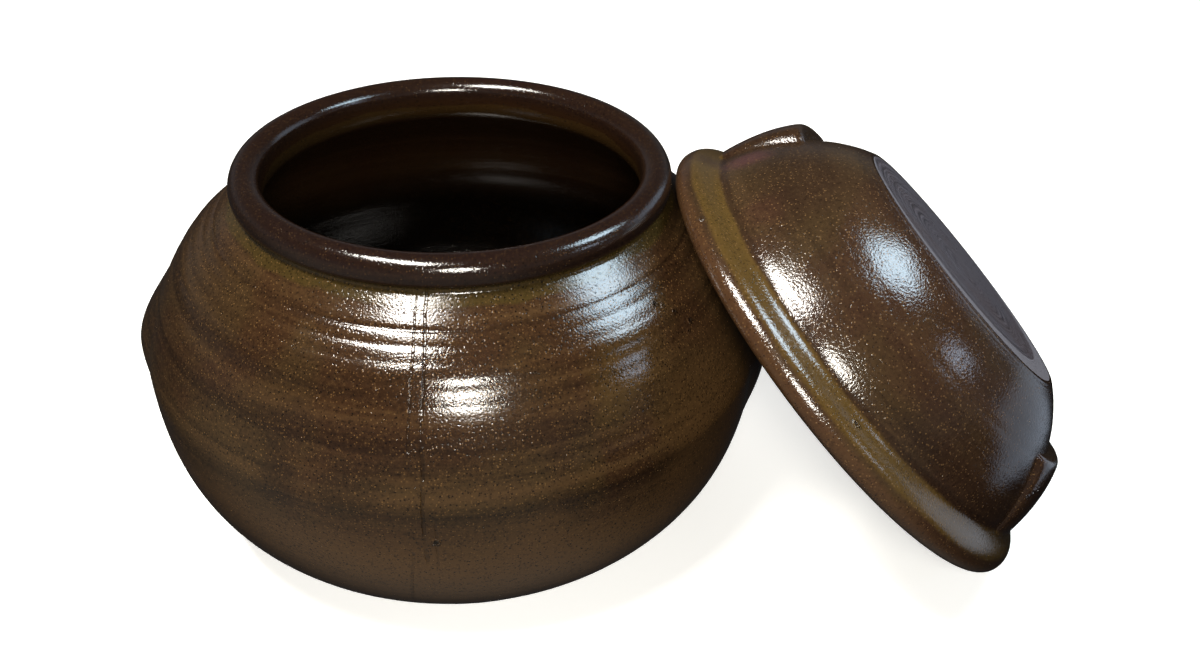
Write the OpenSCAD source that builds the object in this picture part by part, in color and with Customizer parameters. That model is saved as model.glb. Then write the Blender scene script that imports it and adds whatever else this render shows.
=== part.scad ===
// Lidded fermentation crock in glazed stoneware. The open jar stands on the floor and its
// bowl-shaped lid leans on the jar's rim with its lip on the floor. Millimetres, +Z up,
// origin at the centre of the jar's flat base.

/* [Jar] */
// Height of the jar from the floor to the top of the rim
jar_height = 158.2; // [145:0.2:185]
// Radius of the flat base
base_radius = 93.3; // [82:0.1:98]
// Radius of the belly at its widest
belly_radius = 129.1; // [122:0.1:140]
// Height of the widest part of the belly above the floor
belly_height = 82.3; // [74:0.1:90]
// Radius where the belly turns into the straight shoulder
shoulder_radius = 105.2; // [100:0.2:112]
// Drop from the top of the rim to the foot of the straight shoulder
shoulder_drop = 29.7; // [26:0.1:36]
// Outward lean of the wall at the foot, in degrees from upright
foot_lean = 39.3; // [30:0.1:46]
// Thickness of the jar wall
wall = 8; // [6:0.5:10]
// Thickness of the jar floor
floor_thickness = 9; // [7:0.5:14]

/* [Rim] */
// Outer radius of the rim
rim_radius = 88.2; // [84:0.2:92]
// Radius of the open mouth inside the rim
mouth_radius = 75.5; // [71:0.5:77]
// Height of the rounded rim above its lower edge
rim_height = 10.3; // [8:0.1:13]
// How far the rim's lower edge draws in
rim_undercut = 0.8; // [0.4:0.1:1.5]
// Depth of the rounding inside the mouth
mouth_rounding = 6; // [4:0.5:8]
// Depth of the neck groove under the rim
neck_groove = 1.6; // [1:0.1:3]
// Height of the neck groove
neck_height = 4; // [3:0.1:6]

/* [Jar ears] */
// Compass angle of the left ear around the jar
left_ear_angle = 176; // [165:1:195]
// Compass angle of the right ear around the jar
right_ear_angle = 353; // [340:1:370]
// How far the right ear sits lower than the left one
right_ear_drop = 6; // [0:0.5:10]
// How far an ear stands out from the belly
ear_reach = 5.4; // [4:0.2:9]
// Half of the angle that an ear spans around the jar
ear_half_angle = 16; // [12:0.5:22]
// Height of the fullest part of the left ear above the floor
ear_height = 78; // [72:1:86]
// Length of the slope from the shoulder down to the fullest part of the ear
ear_slope = 26; // [20:1:30]
// Height of the rounded underside of the ear
ear_rounding = 17; // [10:0.5:20]

/* [Lid] */
// Radial play between the jar's rim and the lid's socket when the lid is on
lid_play = 3.5; // [2:0.5:6]
// How far the lip flares out beyond the socket
lip_flare = 6.8; // [4:0.2:9]
// Radius of the rounded lip
lip_radius = 4.7; // [4:0.1:6]
// Height of the lid from lip to flat top
lid_height = 64.2; // [56:0.2:76]
// Radius of the flat top
lid_top_radius = 59.3; // [50:0.5:68]
// Height of the crease between the lip band and the lid's wall
crease_height = 16.5; // [14:0.5:20]
// How far the crease lies inside the lip's outer edge
crease_inset = 11.5; // [9:0.5:14]
// Thickness of the lid wall
lid_wall = 7; // [6:0.5:9]
// Thickness of the lid's flat top
lid_top_thickness = 8; // [6:0.5:12]
// Height of the seat ledge inside the lid above the lip
seat_height = 14; // [12:0.5:15]
// Width of the ledge that sits on the rim
seat_width = 9.5; // [8:0.5:11]

/* [Lid ears] */
// Turn of the upper ear around the lid
upper_ear_angle = 50; // [40:1:60]
// Turn of the lower ear around the lid
lower_ear_angle = 232; // [222:1:242]
// How far the upper ear stands out from the lid's wall at its blunt end
upper_ear_reach = 7.4; // [5:0.2:10]
// How far the lower ear stands out from the lid's wall at its blunt end
lower_ear_reach = 5.4; // [4:0.2:8]
// Half of the angle that a lid ear spans
lid_ear_half_angle = 17; // [12:0.5:22]
// Height of the blunt end of a lid ear above the lip
lid_ear_end = 46.5; // [42:0.5:50]
// Depth of the rounding at the lid ear's blunt end
lid_ear_rounding = 4; // [3:0.5:6]

/* [Leaning pose] */
// Steepness of the lid's axis above level
lean = 45; // [35:1:55]
// Compass angle in which the lid's top faces
facing = -5.7; // [-15:0.1:5]
// Sideways shift of the lid along its own level diameter
side_shift = -19.3; // [-30:0.1:0]
// Gap left between the lid's lip and the jar's rim
lean_gap = 1.2; // [0.3:0.1:3]

/* [Quality] */
// Facets around the full turn
facets = 96; // [64:8:120]
// Steps along each curve of a profile
curve_steps = 9; // [6:1:12]

/* [Hidden] */

// heights and radii that follow from the sizes above
shoulder_height = jar_height - shoulder_drop;
rim_foot = jar_height - rim_height;
rim_crown = (rim_radius + mouth_radius) / 2;
neck_radius = rim_radius - rim_undercut - neck_groove;
neck_foot = rim_foot - neck_height;
lid_radius = rim_radius + lid_play + lip_flare + 2 * lip_radius;
socket_radius = rim_radius + lid_play;
lip_ring = lid_radius - lip_radius;
crease_radius = lid_radius - crease_inset;
// how deep an ear's blank sinks into the wall, and the hair of room along the joint
ear_sink = 1.6;
seam_gap = 0.1;

function unit(v) = v / norm(v);
function bezier(a, b, c, d) = [for (i = [0 : curve_steps]) let (t = i / curve_steps)
    pow(1 - t, 3) * a + 3 * pow(1 - t, 2) * t * b + 3 * (1 - t) * t * t * c + pow(t, 3) * d];
function arc(centre, rx, ry, from, to, steps = 6) = [for (i = [0 : steps])
    let (a = from + (to - from) * i / steps) centre + [rx * cos(a), ry * sin(a)]];
function without_last(list) = [for (i = [0 : len(list) - 2]) list[i]];

// the wall's run from the foot out to the belly, and from the belly in to the shoulder
function lower_wall(foot, belly) = let (rise = belly[1] - foot[1])
    bezier(foot, foot + rise * 0.28 * [sin(foot_lean), cos(foot_lean)],
        belly - [0, rise * 0.66], belly);
function upper_wall(belly, shoulder, run) = let (rise = shoulder[1] - belly[1])
    bezier(belly, belly + [0, rise * 0.12], shoulder - rise * 0.36 * run, shoulder);

// the jar's outline from the foot up to the rim
belly = [belly_radius, belly_height];
shoulder = [shoulder_radius, shoulder_height];
neck = [neck_radius + neck_groove * 0.9, neck_foot];
shoulder_run = unit(neck - shoulder);
rim_curve = concat(
    [[neck_radius, neck_foot + neck_height * 0.55],
     [rim_radius - rim_undercut, rim_foot], [rim_radius, rim_foot + rim_undercut * 1.5]],
    arc([rim_crown, rim_foot + rim_height * 0.32], rim_radius - rim_crown, rim_height * 0.68,
        0, 90),
    arc([rim_crown, jar_height - mouth_rounding], rim_crown - mouth_radius, mouth_rounding,
        105, 180));
jar_outline = concat(without_last(lower_wall([base_radius, 0], belly)),
    without_last(upper_wall(belly, shoulder, shoulder_run)), [shoulder, neck], rim_curve);

// the hollow of the jar, a wall's thickness inside that
inner_belly = belly - [wall, 0];
inner_shoulder = shoulder + wall * [-shoulder_run[1], shoulder_run[0]];
inner_neck = neck - wall * [0.72, 0.8];
inner_foot = [base_radius - wall * 0.6, floor_thickness + wall * 0.5];
jar_hollow = concat(
    [[0, floor_thickness], [inner_foot[0] - wall * 0.6, floor_thickness]],
    without_last(lower_wall(inner_foot, inner_belly)),
    without_last(upper_wall(inner_belly, inner_shoulder, shoulder_run)),
    [inner_shoulder, inner_neck, [mouth_radius, neck_foot - 1],
     [mouth_radius, jar_height - mouth_rounding], [mouth_radius, jar_height + wall],
     [0, jar_height + wall]]);

// the outline of the lid, in its own frame with the lip on z = 0
lid_top = [lid_top_radius, lid_height];
crease = [crease_radius, crease_height];
lid_rise = lid_height - crease_height;
lid_curve = bezier(crease, crease + lid_rise * 0.29 * unit([-0.25, 1]),
    lid_top + lid_rise * 0.52 * unit([0.85, -0.45]), lid_top);
lip_turn = 35;
lip_band = bezier(
    [lip_ring + lip_radius * cos(lip_turn), lip_radius * (1 + sin(lip_turn))],
    [lip_ring - 0.5, crease_height * 0.72], [crease_radius + 2.5, crease_height * 0.78], crease);
lid_outline = concat(
    arc([lip_ring, lip_radius], lip_radius, lip_radius, -90, lip_turn, 7), lip_band,
    [for (i = [1 : len(lid_curve) - 1]) lid_curve[i]]);
seat_inner = socket_radius - seat_width;
lid_inside_top = lid_height - lid_top_thickness;
lid_hollow = concat([[0, -20], [socket_radius + lip_flare, -20],
    [socket_radius + lip_flare, lip_radius]],
    [[socket_radius, seat_height - 3], [socket_radius - 1.5, seat_height], [seat_inner, seat_height]],
    bezier([seat_inner, seat_height + 3], [seat_inner, seat_height + 20],
        [lid_top_radius + 12 - lid_wall, lid_inside_top - 3],
        [lid_top_radius - lid_wall, lid_inside_top]),
    [[0, lid_inside_top]]);

// radius of a profile at a height, read from its own outline
function radius_at(profile, z) = max([for (i = [0 : len(profile) - 2])
    let (a = profile[i], b = profile[i + 1])
    (min(a[1], b[1]) <= z && z <= max(a[1], b[1]) && a[1] != b[1])
        ? a[0] + (b[0] - a[0]) * (z - a[1]) / (b[1] - a[1]) : 0]);

// where the leaning lid stands: its lip on the floor and close to the jar, found by closing
// the shortest distance between the middle line of the lip and the jar's outline
lid_axis = [cos(lean) * cos(facing), cos(lean) * sin(facing), sin(lean)];
lid_side = [-sin(facing), cos(facing), 0];
lid_up = cross(lid_axis, lid_side);
lip_height = lip_radius + lip_ring * cos(lean);
function lip_centre(away) = away * [cos(facing), sin(facing), 0] + side_shift * lid_side
    + [0, 0, lip_height];
function from_line(p, a, b) = let (t = max(0, min(1, (p - a) * (b - a) / ((b - a) * (b - a)))))
    norm(p - a - t * (b - a));
function lip_distance(away) = min([for (t = [0 : 4 : 176])
    let (p = lip_centre(away) + lip_ring * (cos(t) * lid_side + sin(t) * lid_up),
         q = [norm([p[0], p[1]]), p[2]])
    for (i = [0 : len(jar_outline) - 2]) from_line(q, jar_outline[i], jar_outline[i + 1])]);
function settle(away, turns) = turns == 0 ? away
    : settle(away + lip_radius + lean_gap - lip_distance(away), turns - 1);
lid_away = settle(belly_radius + lip_ring * sin(lean), 14);
lid_origin = lip_centre(lid_away) - lip_radius * lid_axis;

module turned(profile) {
    rotate_extrude($fn = facets) polygon(concat([[0, profile[0][1]]], profile,
        [[0, profile[len(profile) - 1][1]]]));
}

module in_lid_place() {
    multmatrix([[lid_side[0], lid_up[0], lid_axis[0], lid_origin[0]],
                [lid_side[1], lid_up[1], lid_axis[1], lid_origin[1]],
                [lid_side[2], lid_up[2], lid_axis[2], lid_origin[2]],
                [0, 0, 0, 1]]) children();
}

// the swelling of an ear as pairs of height and stand-off: an easy slope that grows out of
// the wall or a step at its foot, then a rounded end. It runs down the jar and up the lid.
function ear_path(start, full, end, reach, foot) = concat(
    [for (i = [0 : 8]) let (t = i / 8, grown = 0.35 * t + 0.65 * t * t * (3 - 2 * t))
        [start + (full - start) * t, reach * (foot + (1 - foot) * grown)]],
    [for (a = [15 : 15 : 90]) [full + (end - full) * sin(a), reach * cos(a)]]);

// one closed skin: the swelling outside, a plain face sunk in the wall inside
module ear_blank(profile, path, half_angle, fullness) {
    across = 16;
    rows = len(path);
    columns = across + 1;
    outer = [for (p = path) for (j = [0 : across]) let (u = 2 * j / across - 1,
        r = radius_at(profile, p[0]) - ear_sink
            + (p[1] + ear_sink) * pow(max(0, 1 - u * u), fullness))
        [r * cos(u * half_angle), r * sin(u * half_angle), p[0]]];
    inner = [for (p = path) for (j = [0 : across]) let (u = 2 * j / across - 1,
        r = radius_at(profile, p[0]) - 2 * ear_sink)
        [r * cos(u * half_angle), r * sin(u * half_angle), p[0]]];
    base = len(outer);
    turn = path[0][0] > path[rows - 1][0] ? 1 : 0;
    skin = concat(
        [for (i = [0 : rows - 2]) for (j = [0 : across - 1]) let (k = i * columns + j)
            each [[k, k + 1, k + columns + 1], [k, k + columns + 1, k + columns]]],
        [for (i = [0 : rows - 2]) for (j = [0 : across - 1]) let (k = base + i * columns + j)
            each [[k, k + columns + 1, k + 1], [k, k + columns, k + columns + 1]]],
        [for (j = [0 : across - 1]) let (k = j, m = base + j)
            each [[k, m, m + 1], [k, m + 1, k + 1]]],
        [for (j = [0 : across - 1]) let (k = (rows - 1) * columns + j, m = base + k)
            each [[k, m + 1, m], [k, k + 1, m + 1]]],
        [for (i = [0 : rows - 2]) let (k = i * columns, m = base + k)
            each [[k, m + columns, m], [k, k + columns, m + columns]]],
        [for (i = [0 : rows - 2]) let (k = i * columns + across, m = base + k)
            each [[k, m, m + columns], [k, m + columns, k + columns]]]);
    polyhedron(concat(outer, inner), turn == 1
        ? [for (f = skin) [f[0], f[2], f[1]]] : skin);
}

// the swelling without what lies in the wall, a hair clear of it
module ear(profile, wall_outline, path, half_angle, fullness, angle) {
    difference() {
        rotate([0, 0, angle]) ear_blank(profile, path, half_angle, fullness);
        turned([for (p = wall_outline) [p[0] + seam_gap, p[1]]]);
    }
}

module jar_ear(angle, drop) {
    full = ear_height - drop;
    ear(jar_outline, jar_outline,
        ear_path(full + ear_slope, full, full - ear_rounding, ear_reach, 0),
        ear_half_angle, 0.7, angle);
}

// a lid ear starts below the crease, buried in the flare of the lip
module lid_ear(angle, reach) {
    start = crease_height - 5;
    ear(concat([[crease_radius + 1.3, start]], lid_curve), lid_outline,
        ear_path(start, lid_ear_end - lid_ear_rounding, lid_ear_end, reach, 0.4),
        lid_ear_half_angle, 0.35, angle);
}

module jar_body() {
    color("#5a4632") difference() {
        turned(jar_outline);
        turned(jar_hollow);
    }
}

module jar_ear_left() {
    color("#6b4a2c") jar_ear(left_ear_angle, 0);
}

module jar_ear_right() {
    color("#6b4a2c") jar_ear(right_ear_angle, right_ear_drop);
}

module lid_bowl() {
    color("#4e4034") in_lid_place() difference() {
        turned(lid_outline);
        turned(lid_hollow);
    }
}

module lid_ear_upper() {
    color("#6e5230") in_lid_place() lid_ear(upper_ear_angle, upper_ear_reach);
}

module lid_ear_lower() {
    color("#6e5230") in_lid_place() lid_ear(lower_ear_angle, lower_ear_reach);
}

jar_body();
jar_ear_left();
jar_ear_right();
lid_bowl();
lid_ear_upper();
lid_ear_lower();
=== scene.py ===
import math

import bpy
import numpy as np
from mathutils import Matrix, Vector


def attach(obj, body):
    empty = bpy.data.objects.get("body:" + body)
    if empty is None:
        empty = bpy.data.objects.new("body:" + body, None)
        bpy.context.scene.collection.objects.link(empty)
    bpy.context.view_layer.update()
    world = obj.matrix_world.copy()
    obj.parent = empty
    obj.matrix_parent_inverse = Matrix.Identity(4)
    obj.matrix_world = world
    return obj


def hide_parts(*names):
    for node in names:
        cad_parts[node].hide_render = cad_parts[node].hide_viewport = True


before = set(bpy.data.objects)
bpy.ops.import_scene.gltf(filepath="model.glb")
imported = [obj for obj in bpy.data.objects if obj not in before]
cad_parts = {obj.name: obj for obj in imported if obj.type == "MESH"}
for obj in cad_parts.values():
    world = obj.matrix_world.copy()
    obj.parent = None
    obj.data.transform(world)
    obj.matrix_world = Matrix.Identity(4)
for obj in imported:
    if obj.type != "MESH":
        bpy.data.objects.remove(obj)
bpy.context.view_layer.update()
scene = bpy.context.scene
mm = 0.001


# A colour is written as sRGB hex and used as linear light.
def hexColour(code):
    channels = [int(code[i:i + 2], 16) / 255 for i in (1, 3, 5)]
    return [c / 12.92 if c <= 0.04045 else ((c + 0.055) / 1.055) ** 2.4 for c in channels] + [1.0]


# Adds any node. A socket takes a value, a colour code or another node's output. What comes back is the
# output that is asked for, or all of them.
def addNode(tree, kind, sockets=None, out=0, **settings):
    node = tree.nodes.new(kind)
    row, column = divmod(len(tree.nodes), 9)
    node.location = (220 * column, -260 * row)
    for name, value in settings.items():
        setattr(node, name, value)
    for socket, value in (sockets or {}).items():
        if isinstance(value, bpy.types.NodeSocket):
            tree.links.new(value, node.inputs[socket])
        elif isinstance(value, str) and value.startswith("#"):
            node.inputs[socket].default_value = hexColour(value)
        else:
            node.inputs[socket].default_value = value
    if out == "all" or not len(node.outputs):
        return node.outputs
    return node.outputs[out]


def addObject(name, data):
    thing = bpy.data.objects.new(name, data)
    scene.collection.objects.link(thing)
    return thing


# Lines are drawn in millimetres, as points (distance from the pot's axis, height).
def bezier(a, b, c, d, steps):
    t = np.linspace(0, 1, steps + 1)[:, None]
    a, b, c, d = map(np.array, (a, b, c, d))
    return (1 - t) ** 3 * a + 3 * (1 - t) ** 2 * t * b + 3 * (1 - t) * t ** 2 * c + t ** 3 * d


def arc(centre, across, up, fromAngle, toAngle, steps):
    t = np.radians(np.linspace(fromAngle, toAngle, steps + 1))
    return np.c_[centre[0] + across * np.cos(t), centre[1] + up * np.sin(t)]


# A smooth line through points.
def through(points, steps):
    p = np.array([points[0]] + list(points) + [points[-1]], float)
    t = np.linspace(0, 1, steps + 1)[1:, None]
    line = [p[1]]
    for before, start, end, after in zip(p, p[1:], p[2:], p[3:]):
        line.append(0.5 * (2 * start + (end - before) * t
                           + (2 * before - 5 * start + 4 * end - after) * t ** 2
                           + (3 * start - before - 3 * end + after) * t ** 3))
    return np.vstack(line)


# How far along a line each of its points is.
def travelled(line):
    return np.r_[0, np.cumsum(np.linalg.norm(np.diff(line, axis=0), axis=1))]


# The same line with points a step apart.
def walk(points, step):
    points = np.array(points, float)
    run = travelled(points)
    at = np.linspace(0, run[-1], max(2, int(math.ceil(run[-1] / step)) + 1))
    return np.c_[np.interp(at, run, points[:, 0]), np.interp(at, run, points[:, 1])]


def unit(v):
    return np.array(v, float) / np.linalg.norm(v)


# Outward normals of a line that climbs on its right-hand side.
def normals(line):
    along = np.gradient(line, axis=0)
    along /= np.linalg.norm(along, axis=1)[:, None]
    return np.c_[along[:, 1], -along[:, 0]]


# Rounds the corners of evenly spaced values, looking a number of values to each side.
def soften(values, spacing, softness, sides):
    spread = np.exp(-(np.arange(-sides, sides + 1) * spacing / softness) ** 2 / 2)
    return np.convolve(values, spread / spread.sum(), mode="same")


# A Geometry Nodes tree with named inputs.
def makeTree(name, inputs):
    tree = bpy.data.node_groups.new(name, "GeometryNodeTree")
    tree.interface.new_socket("Geometry", in_out="INPUT", socket_type="NodeSocketGeometry")
    for label, kind in inputs.items():
        tree.interface.new_socket(label, in_out="INPUT", socket_type="NodeSocket" + kind)
    tree.interface.new_socket("Geometry", in_out="OUTPUT", socket_type="NodeSocketGeometry")
    return tree, addNode(tree, "NodeGroupInput", out="all")


# Runs a tree on an object and gives back its result as a plain mesh object at the origin.
def runTree(source, tree, values, name):
    modifier = source.modifiers.new(tree.name, "NODES")
    modifier.node_group = tree
    for item in tree.interface.items_tree:
        if item.in_out == "INPUT" and item.name in values:
            modifier[item.identifier] = values[item.name]
    graph = bpy.context.evaluated_depsgraph_get()
    result = source.evaluated_get(graph)
    mesh = bpy.data.meshes.new_from_object(result, preserve_all_data_layers=True, depsgraph=graph)
    source.modifiers.remove(modifier)
    mesh.name = name
    return addObject(name, mesh)


# What each point of an outline knows, and its usual value: how deep a ridge is there, whether the clay is
# bare, how far inside the pot it is, and how far the wall gives under the hand.
zoneValues = {"ridge": 0, "bare": 0, "inside": 0, "give": 1}


# The wheel: this tree turns an outline into a thrown pot.
def makeWheelTree():
    tree, given = makeTree("thrownOnWheel", {
        "Turns": "Int", "Ridge Depth": "Float", "Unevenness": "Float", "Unevenness Size": "Float",
        "Seed": "Float", "Glaze": "Material", "Bare Clay": "Material"})
    outline = given["Geometry"]
    # a grid with a row for each point of the outline and a column for each turn, and one more to close it
    count = addNode(tree, "GeometryNodeAttributeDomainSize", {0: outline}, "Point Count", component="MESH")
    columns = addNode(tree, "ShaderNodeMath", {0: given["Turns"], 1: 1.0}, operation="ADD")
    grid = addNode(tree, "GeometryNodeMeshGrid", {"Vertices X": columns, "Vertices Y": count}, "Mesh")
    index = addNode(tree, "GeometryNodeInputIndex")
    column = addNode(tree, "ShaderNodeMath", {0: index, 1: 0.5}, operation="ADD")
    column = addNode(tree, "ShaderNodeMath", {0: column, 1: count}, operation="DIVIDE")
    column = addNode(tree, "ShaderNodeMath", {0: column}, operation="FLOOR")
    row = addNode(tree, "ShaderNodeMath", {0: column, 1: count}, operation="MULTIPLY")
    row = addNode(tree, "ShaderNodeMath", {0: index, 1: row}, operation="SUBTRACT")
    # each point goes round the axis by its column's angle
    angle = addNode(tree, "ShaderNodeMath", {0: column, 1: given["Turns"]}, operation="DIVIDE")
    angle = addNode(tree, "ShaderNodeMath", {0: angle, 1: 2 * math.pi}, operation="MULTIPLY")
    place = addNode(tree, "GeometryNodeInputPosition")
    point = addNode(tree, "GeometryNodeSampleIndex", {0: outline, 1: place, 2: row}, data_type="FLOAT_VECTOR")
    point = addNode(tree, "ShaderNodeSeparateXYZ", {0: point}, "all")
    cosine = addNode(tree, "ShaderNodeMath", {0: angle}, operation="COSINE")
    sine = addNode(tree, "ShaderNodeMath", {0: angle}, operation="SINE")
    x = addNode(tree, "ShaderNodeMath", {0: point[0], 1: cosine}, operation="MULTIPLY")
    y = addNode(tree, "ShaderNodeMath", {0: point[0], 1: sine}, operation="MULTIPLY")
    turned = addNode(tree, "ShaderNodeCombineXYZ", {0: x, 1: y, 2: point[2]})
    pot = addNode(tree, "GeometryNodeSetPosition", {"Geometry": grid, "Position": turned})
    # what each point of the outline knows travels with it
    for label in zoneValues:
        value = addNode(tree, "GeometryNodeInputNamedAttribute", {"Name": label})
        value = addNode(tree, "GeometryNodeSampleIndex", {0: outline, 1: value, 2: row})
        pot = addNode(tree, "GeometryNodeStoreNamedAttribute", {
            "Geometry": pot, "Name": label, "Value": value})
    # the first and last columns meet here, and the two poles close
    pot = addNode(tree, "GeometryNodeMergeByDistance", {"Geometry": pot, "Distance": 0.02 * mm})
    # ridges fade in and out around the pot, and the hand leaves it slightly uneven; both only go inwards
    position = addNode(tree, "GeometryNodeInputPosition")
    fade = addNode(tree, "ShaderNodeTexNoise", {
        "Vector": position, "W": given["Seed"], "Scale": 16.0, "Detail": 1.0}, noise_dimensions="4D")
    fade = addNode(tree, "ShaderNodeMapRange", {0: fade, 1: 0.3, 2: 0.7, 3: 0.35, 4: 1.25})
    ridge = addNode(tree, "GeometryNodeInputNamedAttribute", {"Name": "ridge"})
    ridge = addNode(tree, "ShaderNodeMath", {0: ridge, 1: fade}, operation="MULTIPLY")
    ridge = addNode(tree, "ShaderNodeMath", {0: ridge, 1: given["Ridge Depth"]}, operation="MULTIPLY")
    swell = addNode(tree, "ShaderNodeTexNoise", {
        "Vector": position, "W": given["Seed"], "Scale": given["Unevenness Size"], "Detail": 1.5},
        noise_dimensions="4D")
    swell = addNode(tree, "ShaderNodeMath", {0: swell, 1: given["Unevenness"]}, operation="MULTIPLY")
    inward = addNode(tree, "ShaderNodeMath", {0: ridge, 1: swell}, operation="ADD")
    give = addNode(tree, "GeometryNodeInputNamedAttribute", {"Name": "give"})
    inward = addNode(tree, "ShaderNodeMath", {0: inward, 1: give}, operation="MULTIPLY")
    outward = addNode(tree, "ShaderNodeMath", {0: inward, 1: -1.0}, operation="MULTIPLY")
    normal = addNode(tree, "GeometryNodeInputNormal")
    shift = addNode(tree, "ShaderNodeVectorMath", {0: normal, 3: outward}, operation="SCALE")
    pot = addNode(tree, "GeometryNodeSetPosition", {"Geometry": pot, "Offset": shift})
    pot = addNode(tree, "GeometryNodeSetShadeSmooth", {"Geometry": pot})
    pot = addNode(tree, "GeometryNodeRealizeInstances", {"Geometry": pot})
    pot = addNode(tree, "GeometryNodeSetMaterial", {"Geometry": pot, "Material": given["Glaze"]})
    bare = addNode(tree, "GeometryNodeInputNamedAttribute", {"Name": "bare"})
    bare = addNode(tree, "FunctionNodeCompare", {0: bare, 1: 0.5}, operation="GREATER_THAN")
    pot = addNode(tree, "GeometryNodeSetMaterial", {
        "Geometry": pot, "Selection": bare, "Material": given["Bare Clay"]})
    addNode(tree, "NodeGroupOutput", {"Geometry": pot})
    return tree


# Sand and iron grains that stand up through the glaze, scattered over the outside with a fixed seed.
def makeGrainTree():
    tree, given = makeTree("grainsInGlaze", {
        "Grain Radius": "Float", "Grains per Square Metre": "Float", "Seed": "Int", "Grain": "Material"})
    inside = addNode(tree, "GeometryNodeInputNamedAttribute", {"Name": "inside"})
    bare = addNode(tree, "GeometryNodeInputNamedAttribute", {"Name": "bare"})
    hidden = addNode(tree, "ShaderNodeMath", {0: inside, 1: bare}, operation="ADD")
    outside = addNode(tree, "FunctionNodeCompare", {0: hidden, 1: 0.05}, operation="LESS_THAN")
    points = addNode(tree, "GeometryNodeDistributePointsOnFaces", {
        "Mesh": given["Geometry"], "Selection": outside, "Density": given["Grains per Square Metre"],
        "Seed": given["Seed"]}, "all")
    grain = addNode(tree, "GeometryNodeMeshIcoSphere", {"Radius": given["Grain Radius"], "Subdivisions": 1})
    # half to full size, flattened into the glaze
    size = addNode(tree, "FunctionNodeRandomValue", {2: 0.5, 3: 1.0, "Seed": given["Seed"]}, 1)
    size = addNode(tree, "ShaderNodeCombineXYZ", {0: size, 1: size, 2: 0.45})
    grains = addNode(tree, "GeometryNodeInstanceOnPoints", {
        "Points": points["Points"], "Instance": grain, "Rotation": points["Rotation"], "Scale": size})
    grains = addNode(tree, "GeometryNodeRealizeInstances", {"Geometry": grains})
    grains = addNode(tree, "GeometryNodeSetShadeSmooth", {"Geometry": grains})
    grains = addNode(tree, "GeometryNodeSetMaterial", {"Geometry": grains, "Material": given["Grain"]})
    addNode(tree, "NodeGroupOutput", {"Geometry": grains})
    return tree


# How deep the fingers pressed at each point of a wall: a few strong rings and many faint ones.
def ridgeDepths(line, rings, pitch, faint, seed):
    run = travelled(line)
    depth = np.zeros(len(line))
    for height, deep, halfWidth in rings:
        at = np.interp(height, line[:, 1], run)
        depth += deep * np.exp(-((run - at) / halfWidth) ** 2)
    random = np.random.RandomState(seed)
    at = random.uniform(0, pitch)
    while at < run[-1]:
        deep = faint * random.uniform(0.3, 1.0)
        halfWidth = pitch * random.uniform(0.2, 0.34)
        depth += deep * np.exp(-((run - at) / halfWidth) ** 2)
        at += pitch * random.uniform(0.6, 1.4)
    return depth


# An outline as a string of points, made of zones, each from where the last one ended. A zone says how far
# apart its points are; without that its line is taken as it is.
def outlineObject(name, zones):
    points = []
    values = {label: [] for label in zoneValues}
    for zone in zones:
        line = walk(zone["line"], zone["step"]) if "step" in zone else zone["line"]
        first = 1 if points else 0
        points += list(line[first:])
        known = {label: np.full(len(line), zone.get(label, usual)) for label, usual in zoneValues.items()}
        if "fingers" in zone:
            known["ridge"] = ridgeDepths(line, *zone["fingers"])
        for label in zoneValues:
            values[label] += list(known[label][first:])
    mesh = bpy.data.meshes.new(name)
    edges = [(i, i + 1) for i in range(len(points) - 1)]
    mesh.from_pydata([(r, 0, z) for r, z in np.array(points) * mm], edges, [])
    for label in zoneValues:
        attribute = mesh.attributes.new(label, "FLOAT", "POINT")
        attribute.data.foreach_set("value", np.array(values[label], np.float32))
    return addObject(name, mesh)


# Throws a pot from the zones of its outline.
def throwPot(name, pot, zones, glaze, clay):
    outline = outlineObject(name + "Outline", zones)
    piece = runTree(outline, wheelTree, {
        "Turns": pot["turns"], "Ridge Depth": pot["ridgeDepth"] * mm,
        "Unevenness": pot["unevenness"] * mm, "Unevenness Size": pot["unevennessSize"],
        "Seed": pot["seed"], "Glaze": glaze, "Bare Clay": clay}, name)
    bpy.data.objects.remove(outline)
    return piece


def newMaterial(name):
    material = bpy.data.materials.new(name)
    material.use_nodes = True
    tree = material.node_tree
    tree.nodes.clear()
    return material, tree


# A pot's own coordinates: z runs up its axis, also where it lies tilted.
def ownPlace(tree, origin, turn):
    place = addNode(tree, "ShaderNodeTexCoord", out="Object")
    return addNode(tree, "ShaderNodeMapping", {"Vector": place, "Location": origin, "Rotation": turn},
                   vector_type="TEXTURE")


# Masks multiplied together. A mask is a number, an output, or an output with the two values between which it
# rises smoothly from 0 to 1; two more numbers say what it starts and ends at instead.
def product(tree, masks):
    amount = None
    for mask in masks:
        if isinstance(mask, tuple):
            value, low, high, start, end = (mask + (0.0, 1.0))[:5]
            mask = addNode(tree, "ShaderNodeMapRange", {0: value, 1: low, 2: high, 3: start, 4: end},
                           interpolation_type="SMOOTHSTEP")
        if amount is None:
            amount = mask
        else:
            amount = addNode(tree, "ShaderNodeMath", {0: amount, 1: mask}, operation="MULTIPLY")
    return amount


# A first colour with layers over it, each a colour and the masks that say how far it covers.
def paint(tree, colour, layers):
    for over, *masks in layers:
        amount = product(tree, masks)
        colour = addNode(tree, "ShaderNodeMix", {0: amount, 6: colour, 7: over}, 2, data_type="RGBA")
    return colour


# The bump of all heights together, each an output and how many millimetres it stands for.
def bumpFrom(tree, heights):
    relief = 0.0
    for value, scale in heights:
        relief = addNode(tree, "ShaderNodeMath", {0: value, 1: scale, 2: relief}, operation="MULTIPLY_ADD")
    return addNode(tree, "ShaderNodeBump", {"Strength": 1.0, "Distance": 1.0 * mm, "Height": relief})


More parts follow.
